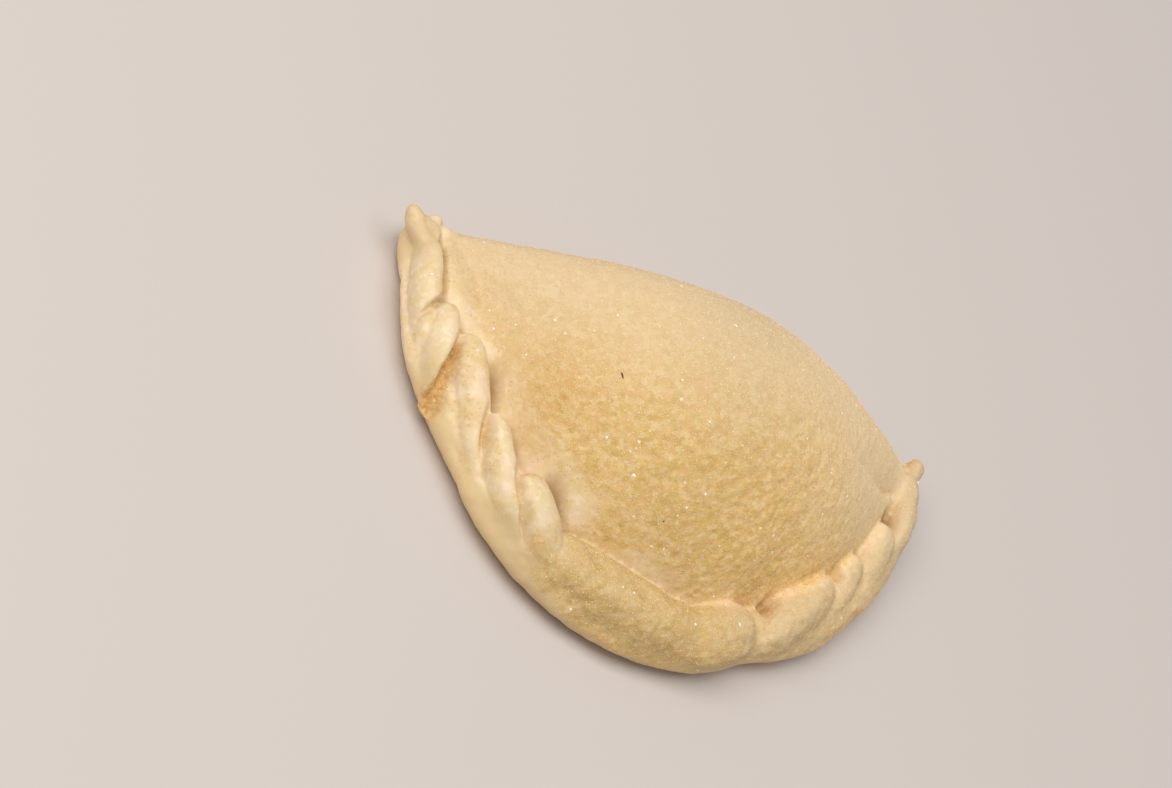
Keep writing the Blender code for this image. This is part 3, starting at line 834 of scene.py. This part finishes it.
def tones(points, along, coarse, on_dome):
    """What the crust's colours are multiplied by, on the rope and on the dome, with painted light towards +X
    and painted shade at the summit of the dome.
    """
    rope = np.interp(along, *np.array(ROPE_TONES).T) + LOW_TONE * (1 - smoothstep(*LOW_SPAN, points[:, 2]))
    right = smoothstep(*RIGHT_SPAN, points[:, 0])
    summit = smoothstep(SUMMIT_Z, HEIGHT, points[:, 2])
    # Painted light towards +X and painted shade at the summit.
    dome = 1 + RIGHT_PAINTED_LIGHT * right * np.sqrt(coarse) + SUMMIT_PAINTED_SHADE * summit
    return rope + (dome - rope) * on_dome


def crust_fields(points, normals, blurred, coarse):
    """The values at each point that the crust's material reads, by name."""
    along, inset = rim_coordinates(points)
    inside = past_crease(along, inset)
    on_dome = smoothstep(*DOME_BLEND, inside)
    right_rope = smoothstep(*ROPE_PALE_SPAN, along) * (1 - on_dome)
    from_warm_place = np.hypot(*(points[:, :2] - WARM_PLACE).T)
    return {
        "sugar": sugar_cover(points, normals, along, inset),
        "pale": np.maximum(FINE_PALENESS * (1 - coarse), ROPE_PALENESS * right_rope),
        # painted shade in hollows and creases
        "hollow": painted_hollow_shade(points, normals, blurred, along, inset),
        "toast": toasting(points, along, inset),
        # painted shade on the pressed band
        "band": pressed_smooth(along, inset) * (1 - smoothstep(*BAND_END, inside)),
        "warm": np.exp(-((from_warm_place / WARM_RADIUS) ** 2)),
        "tone": tones(points, along, coarse, on_dome),
    }


def add_field(mesh, name, values):
    layer = mesh.attributes.new(name, "FLOAT", "POINT")
    layer.data.foreach_set("value", values.astype(np.float32))


def placed(right, up, back, place):
    """The matrix of a camera or lamp with these directions at a place in metres."""
    return Matrix([[right[k], up[k], back[k], place[k]] for k in range(3)] + [[0, 0, 0, 1]])


def make_camera():
    """The camera. Gives its directions up and back."""
    azimuth, elevation, roll = (math.radians(a) for a in (CAMERA_AZIMUTH, CAMERA_ELEVATION, CAMERA_ROLL))
    back = np.array([
        -math.sin(azimuth) * math.cos(elevation),
        -math.cos(azimuth) * math.cos(elevation),
        math.sin(elevation),
    ])
    level = np.cross(-back, (0, 0, 1))
    level /= np.linalg.norm(level)
    upright = np.cross(level, -back)
    right = math.cos(roll) * level + math.sin(roll) * upright
    up = math.cos(roll) * upright - math.sin(roll) * level
    data = bpy.data.cameras.new("camera")
    data.lens = CAMERA_LENS
    camera = link("camera", data)
    camera.matrix_world = placed(right, up, back, (np.array(AIM) + back * CAMERA_DISTANCE) * MM)
    bpy.context.scene.camera = camera
    return up, back


class Graph:
    """Short ways to add and join the nodes of one material."""

    def __init__(self, name):
        self.material = bpy.data.materials.new(name)
        self.material.use_nodes = True
        self.nodes = self.material.node_tree.nodes
        self.links = self.material.node_tree.links
        self.shader = self.nodes["Principled BSDF"]
        self.place = self.nodes.new("ShaderNodeTexCoord").outputs["Object"]

    def put(self, value, socket):
        """Links an output to a socket, or sets the socket to a number or a colour."""
        if isinstance(value, bpy.types.NodeSocket):
            self.links.new(value, socket)
        elif isinstance(value, tuple):
            socket.default_value = (*value, 1.0)
        else:
            socket.default_value = value

    def shaded(self, values):
        """The material, with these values on its shader's sockets."""
        for name, value in values.items():
            self.put(value, self.shader.inputs[name])
        return self.material

    def attribute(self, name, output="Fac"):
        node = self.nodes.new("ShaderNodeAttribute")
        node.attribute_name = name
        return node.outputs[output]

    def noise(self, size, detail=2.0):
        """Noise from 0 to 1 with features of about the given size in millimetres."""
        node = self.nodes.new("ShaderNodeTexNoise")
        node.inputs["Scale"].default_value = 1 / (size * MM)
        node.inputs["Detail"].default_value = detail
        self.links.new(self.place, node.inputs["Vector"])
        return node.outputs["Fac"]

    def grains(self, size):
        """The distance to the nearest grain of about this size in millimetres, and its own random number."""
        node = self.nodes.new("ShaderNodeTexVoronoi")
        node.inputs["Scale"].default_value = 1 / (size * MM)
        self.links.new(self.place, node.inputs["Vector"])
        parts = self.nodes.new("ShaderNodeSeparateColor")
        self.links.new(node.outputs["Color"], parts.inputs["Color"])
        return node.outputs["Distance"], parts.outputs["Red"]

    def spread(self, value, low, high, new_low=0.0, new_high=1.0):
        """Maps a value between low and high to the new limits, smoothly."""
        node = self.nodes.new("ShaderNodeMapRange")
        node.interpolation_type = "SMOOTHSTEP"
        self.put(value, node.inputs["Value"])
        limits = {"From Min": low, "From Max": high, "To Min": new_low, "To Max": new_high}
        for name, number in limits.items():
            node.inputs[name].default_value = number
        return node.outputs["Result"]

    def speckles(self, size, low, high, least, most):
        """A share for each grain of a size, between the least and the most."""
        return self.spread(self.grains(size)[1], low, high, least, most)

    def maths(self, operation, first, second):
        node = self.nodes.new("ShaderNodeMath")
        node.operation = operation
        self.put(first, node.inputs[0])
        self.put(second, node.inputs[1])
        return node.outputs["Value"]

    def mix(self, share, first, second, blend="MIX"):
        """Mixes two colours, whose sockets share their names with other types' and so go by number."""
        node = self.nodes.new("ShaderNodeMix")
        node.data_type = "RGBA"
        node.blend_type = blend
        self.put(share, node.inputs["Factor"])
        self.put(first, node.inputs[6])
        self.put(second, node.inputs[7])
        return node.outputs[2]

    def mottled(self, colour, layers):
        """A colour under layers of mottling."""
        for size, detail, low, high, most, tint in layers:
            colour = self.mix(self.spread(self.noise(size, detail), low, high, 0.0, most), colour, tint)
        return colour

    def bump(self, height, depth, strength, under=None):
        node = self.nodes.new("ShaderNodeBump")
        node.inputs["Strength"].default_value = strength
        node.inputs["Distance"].default_value = depth * MM
        self.links.new(height, node.inputs["Height"])
        if under:
            self.links.new(under, node.inputs["Normal"])
        return node.outputs["Normal"]


def sugared_colour(graph):
    """The mottled tan, yellow, cream and pinkish colours of dough under fine sugar."""
    colour = graph.mottled(TAN_DEEP, SUGARED_MOTTLES)
    colour = graph.mix(graph.speckles(*CREAM_SPECKLES), colour, CREAM)
    amber = graph.speckles(*AMBER_SPECKLES)
    warm = graph.maths("MULTIPLY", graph.attribute("warm"), graph.speckles(*WARM_SPECKLES))
    colour = graph.mix(graph.maths("MAXIMUM", amber, warm), colour, AMBER)
    return graph.mix(graph.attribute("pale"), colour, FINE_CREAM)


def toasted(graph, colour):
    """The colour with the toasted places over it."""
    unevenness = graph.spread(graph.noise(*TOAST_NOISE), *TOAST_UNEVENNESS)
    toast = graph.maths("MULTIPLY", graph.attribute("toast"), unevenness)
    return graph.mix(toast, colour, graph.mix(graph.speckles(*TOAST_SPECKLES), TOAST, TOAST_LIGHT))


def crust_relief(graph, sugar):
    """The finest relief: the dough's skin, and grains where sugar lies."""
    size, depth, strength = SKIN_RELIEF
    skin = graph.bump(graph.noise(size, SKIN_DETAIL), depth, strength)
    size, depth, strength = SUGAR_RELIEF
    grains = graph.maths("MULTIPLY", graph.grains(size)[0], sugar)
    return graph.bump(grains, depth, strength, skin)


def crust_material():
    graph = Graph("crust")
    sugar = graph.attribute("sugar")
    bare = graph.mottled(BARE_YELLOW, BARE_MOTTLES)
    # Painted shade on the pressed band of dough.
    bare = graph.mix(graph.spread(graph.attribute("band"), 0.0, 1.0, 0.0, BAND_SHADE_SHARE), bare, BAND_SHADE_COLOUR)
    colour = graph.mix(sugar, bare, sugared_colour(graph))
    colour = graph.mix(1.0, colour, graph.attribute("tone"), "MULTIPLY")
    # Painted shade in the hollows and creases.
    hollow = graph.spread(graph.attribute("hollow"), 0.0, 1.0, 0.0, HOLLOW_SHADE_SHARE)
    colour = toasted(graph, graph.mix(hollow, colour, HOLLOW_SHADE_COLOUR))
    return graph.shaded({
        "Base Color": colour,
        "Roughness": graph.spread(sugar, 0.0, 1.0, BARE_ROUGHNESS, SUGARED_ROUGHNESS),
        "Specular IOR Level": CRUST_SPECULAR,
        "Normal": crust_relief(graph, sugar),
    })


def crystal_material(name, roughness, specular):
    graph = Graph(name)
    tint = graph.attribute("tint", "Color")
    return graph.shaded({"Base Color": tint, "Roughness": roughness, "Specular IOR Level": specular})


def scattered(mesh, count, density, rng):
    """Random places on a mesh, more where the density is high, with face normals and a vertex near each."""
    corners = triangles(mesh)
    first, second, third = (positions(mesh)[corners[:, k]] for k in range(3))
    across = np.cross(second - first, third - first)
    size = np.linalg.norm(across, axis=1)
    weight = size * density[corners].mean(axis=1)
    chosen = rng.choice(len(corners), count, p=weight / weight.sum())
    share = rng.random((count, 2))
    over = share.sum(axis=1) > 1
    share[over] = 1 - share[over]
    places = first[chosen]
    places = places + (second - first)[chosen] * share[:, :1] + (third - first)[chosen] * share[:, 1:]
    return places, across[chosen] / size[chosen, None], corners[chosen, 0]


def turned(vertices, rng):
    """Copies of a shape, each turned at random: one row of vertices for each of the sizes."""
    count = len(vertices)
    spin = rng.normal(size=(count, 4))
    spin /= np.linalg.norm(spin, axis=1)[:, None]
    w, x, y, z = spin.T
    rotation = np.stack([
        1 - 2 * (y * y + z * z), 2 * (x * y - w * z), 2 * (x * z + w * y),
        2 * (x * y + w * z), 1 - 2 * (x * x + z * z), 2 * (y * z - w * x),
        2 * (x * z - w * y), 2 * (y * z + w * x), 1 - 2 * (x * x + y * y),
    ], axis=1).reshape(count, 3, 3)
    return np.einsum("nij,nvj->nvi", rotation, vertices)


def crystals(name, shape, places, normals, sizes, tints, rng):
    """Sugar crystals as one mesh, each turned at random, partly sunk in, and in a cell of the bake map."""
    corners, sides = shape
    count = len(places)
    solids = corners[None] * sizes[:, None, None] * rng.uniform(*CRYSTAL_STRETCH, (count, 1, 3))
    moves = rng.uniform(-CRYSTAL_UNEVENNESS, CRYSTAL_UNEVENNESS, (count, len(corners), 3))
    solids = turned(solids * (1 + moves), rng)
    solids -= CRYSTAL_FLATNESS * np.einsum("nvk,nk->nv", solids, normals)[:, :, None] * normals[:, None]
    solids += (places - normals * CRYSTAL_SINK * sizes[:, None])[:, None]
    faces = sides[None] + len(corners) * np.arange(count)[:, None, None]
    mesh = bpy.data.meshes.new(name)
    mesh.from_pydata((solids * MM).reshape(-1, 3).tolist(), [], faces.reshape(-1, 3).tolist())
    layer = mesh.color_attributes.new("tint", "FLOAT_COLOR", "POINT")
    colours = np.ones((count, len(corners), 4), np.float32)
    colours[:, :, :3] = tints[:, None]
    layer.data.foreach_set("color", colours.ravel())
    cells = math.ceil(math.sqrt(count))
    cell = np.stack([np.arange(count) % cells, np.arange(count) // cells], axis=1)
    on_cell = np.tile(CELL_CORNERS, (len(sides), 1))
    add_map(mesh, ((cell[:, None] + on_cell[None]) / cells).reshape(-1, 2))
    return link(name, mesh)


def tints_between(first, second, count, rng):
    share = rng.random((count, 1))
    return np.array(first) * (1 - share) + np.array(second) * share


def belongs(piece):
    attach(piece, "root")


def crust_map(mesh, points, directions):
    """The places of the crust's corners on the bake map: four charts, as it is seen from each side."""
    faces = triangles(mesh)
    facing = directions[faces].mean(axis=1)[:, 2]
    middle = points[faces].mean(axis=1)
    along, inset = rim_coordinates(points)
    chart = np.full(len(faces), CHART_NAMES.index("top"))
    steep = facing < STEEP_FACING
    chart[steep & (inset[faces].mean(axis=1) < RIM_CHART_REACH)] = CHART_NAMES.index("rim")
    chart[steep & (middle[:, 1] > BACK_CHART_Y)] = CHART_NAMES.index("back")
    chart[facing < UNDER_FACING] = CHART_NAMES.index("under")
    centred = points - 0.5 * (points.min(axis=0) + points.max(axis=0)) * (1, 1, 0)
    flat = {
        "top": centred[:, [0, 1]],
        "under": centred[:, [0, 1]],
        "back": centred[:, [0, 2]],
        "rim": np.column_stack([along - 0.5 * along.max(), points[:, 2]]),
    }
    places = np.empty((len(faces), 3, 2))
    for number, name in enumerate(CHART_NAMES):
        chosen = chart == number
        scale, height = CHARTS[name]
        places[chosen] = flat[name][faces[chosen]] * scale / MAP_MM + (0.5, height)
    return places.reshape(-1, 2)


def add_map(mesh, places):
    mesh.uv_layers.new(name="OFBake").data.foreach_set("uv", places.astype(np.float32).ravel())


def shift_onto_frame(points):
    """How far the points move in plan so that their box has the same middle as the frame's solid."""
    low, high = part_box("empanada")
    centre = 0.5 * (points.min(axis=0) + points.max(axis=0))
    return np.array([0.5 * (low[k] + high[k]) / MM - centre[k] for k in (0, 1)] + [0.0])


def make_crust():
    """The whole pastry. Gives its mesh, and its points with their sugar, in millimetres."""
    fine = fine_crust()
    ratio = min(1.0, CRUST_TRIANGLES / (2 * len(fine.polygons)))
    mesh = modified(fine, ("DECIMATE", {"ratio": ratio}), ("TRIANGULATE", {}))
    points = positions(mesh)
    coarse = coarseness(points)
    blurred = smoothed(mesh, HOLLOW_STEPS)
    fields = crust_fields(points, vertex_normals(mesh), blurred, coarse)
    for name, values in fields.items():
        add_field(mesh, name, values)
    set_positions(mesh, blurred)
    add_map(mesh, crust_map(mesh, points, vertex_normals(mesh)))
    points = points + shift_onto_frame(points)
    set_positions(mesh, points * MM)
    mesh.shade_smooth()
    mesh.materials.clear()
    mesh.materials.append(crust_material())
    crust = link("sugared_crust", mesh)
    belongs(crust)
    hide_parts("empanada")
    return mesh, points, fields["sugar"], coarse


def make_sugar(mesh, points, sugar, coarse, rng):
    """The loose crystals of each kind, on a copy of the crust that is in millimetres."""
    small = mesh.copy()
    set_positions(small, points)
    for name, shape, count, smallest, largest, coarse_tints, fine_tints, roughness, specular, power in SUGARS:
        places, normals, near = scattered(small, count, sugar**power * coarse, rng)
        sizes = rng.uniform(smallest, largest, count)
        tints = tints_between(*coarse_tints, count, rng)
        tints += (tints_between(*fine_tints, count, rng) - tints) * (1 - coarse[near, None])
        grains = crystals(name, shape, places, normals, sizes, tints, rng)
        grains.data.materials.append(crystal_material(name, roughness, specular))
        belongs(grains)
    bpy.data.meshes.remove(small)


def crumb_material():
    graph = Graph("burnt_crumb")
    colour = graph.mix(graph.noise(CRUMB_NOISE_SIZE), CRUMB_BLACK, CRUMB_BROWN)
    return graph.shaded({"Base Color": colour, "Roughness": CRUMB_ROUGHNESS})


def make_crumbs(points, rng):
    """The few dark crumbs that lie on the dome."""
    crumbs = bmesh.new()
    for x, y, length, width, turn in CRUMBS:
        nearest = np.argmin(np.hypot(points[:, 0] - x, points[:, 1] - y))
        made = bmesh.ops.create_icosphere(crumbs, subdivisions=2, radius=0.5)["verts"]
        for vertex in made:
            vertex.co *= 1 + rng.uniform(-CRUMB_UNEVENNESS, CRUMB_UNEVENNESS)
        place = Matrix.Translation(points[nearest]) @ Matrix.Rotation(math.radians(turn), 4, "Z")
        bmesh.ops.transform(crumbs, verts=made, matrix=place @ Matrix.Diagonal((length, width, width, 1)))
    bmesh.ops.scale(crumbs, verts=crumbs.verts, vec=(MM, MM, MM))
    mesh = bpy.data.meshes.new("burnt_crumbs")
    crumbs.to_mesh(mesh)
    crumbs.free()
    mesh.materials.append(crumb_material())
    belongs(link("burnt_crumbs", mesh))


def make_floor():
    half = FLOOR_HALF_WIDTH * MM
    plan = ((-half, -half), (half, -half), (half, half), (-half, half))
    mesh = bpy.data.meshes.new("floor")
    mesh.from_pydata([(x, y, -FLOOR_DROP * MM) for x, y in plan], [], [(0, 1, 2, 3)])
    look = {"Base Color": FLOOR_COLOUR, "Roughness": FLOOR_ROUGHNESS}
    mesh.materials.append(Graph("pale_floor").shaded(look))
    floor = link("floor", mesh)


def area_light(name, direction, power):
    """A square lamp that shines at the origin from a direction."""
    data = bpy.data.lights.new(name, "AREA")
    data.size = LAMP_SIZE * MM
    data.energy = power
    lamp = link(name, data)
    back = np.array(direction) / np.linalg.norm(direction)
    level = np.cross((0, 0, 1), back)
    level /= np.linalg.norm(level)
    lamp.matrix_world = placed(level, np.cross(back, level), back, back * LAMP_DISTANCE * MM)


def make_lights(up, back):
    """The studio's light, with the key lamp placed by the camera's directions."""
    world = bpy.data.worlds.new("studio")
    bpy.context.scene.world = world
    world.use_nodes = True
    background = world.node_tree.nodes["Background"]
    background.inputs["Color"].default_value = (1, 1, 1, 1)
    background.inputs["Strength"].default_value = STUDIO_LIGHT
    area_light("key", KEY_UP * up + KEY_BACK * back, KEY_POWER)
    area_light("high", HIGH_DIRECTION, HIGH_POWER)
    bpy.context.scene.view_settings.view_transform = "Standard"


def main():
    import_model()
    make_lights(*make_camera())
    mesh, points, sugar, coarse = make_crust()
    rng = np.random.default_rng(SEED)
    make_sugar(mesh, points, sugar, coarse, rng)
    make_crumbs(points, rng)
    make_floor()


main()
